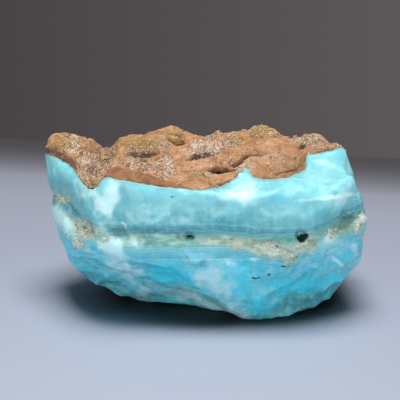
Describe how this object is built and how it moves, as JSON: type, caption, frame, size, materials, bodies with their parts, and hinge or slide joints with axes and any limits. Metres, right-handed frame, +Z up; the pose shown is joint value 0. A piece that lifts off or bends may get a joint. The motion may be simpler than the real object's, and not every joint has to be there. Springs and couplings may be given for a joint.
{
  "type": "rough aragonite specimen",
  "caption": "Rough hand specimen of banded blue aragonite with a brown earthy rind on its top, a vuggy tan seam round its middle and a small flat foot to rest on.",
  "frame": {"origin": "middle of the stone's box, at the level of the flat foot that it rests on", "axes": "+X to the right along the stone's length, seen from the banded front; +Y to the back; +Z up through the rind"},
  "size_m": [0.1116, 0.0609, 0.0589],
  "materials": {
    "aragonite": "waxy broken blue stone with milky clouds and fine bands, under a dull clay-brown granular rind"
  },
  "bodies": {
    "root": {"aragonite": "aragonite"}
  },
  "joints": []
}
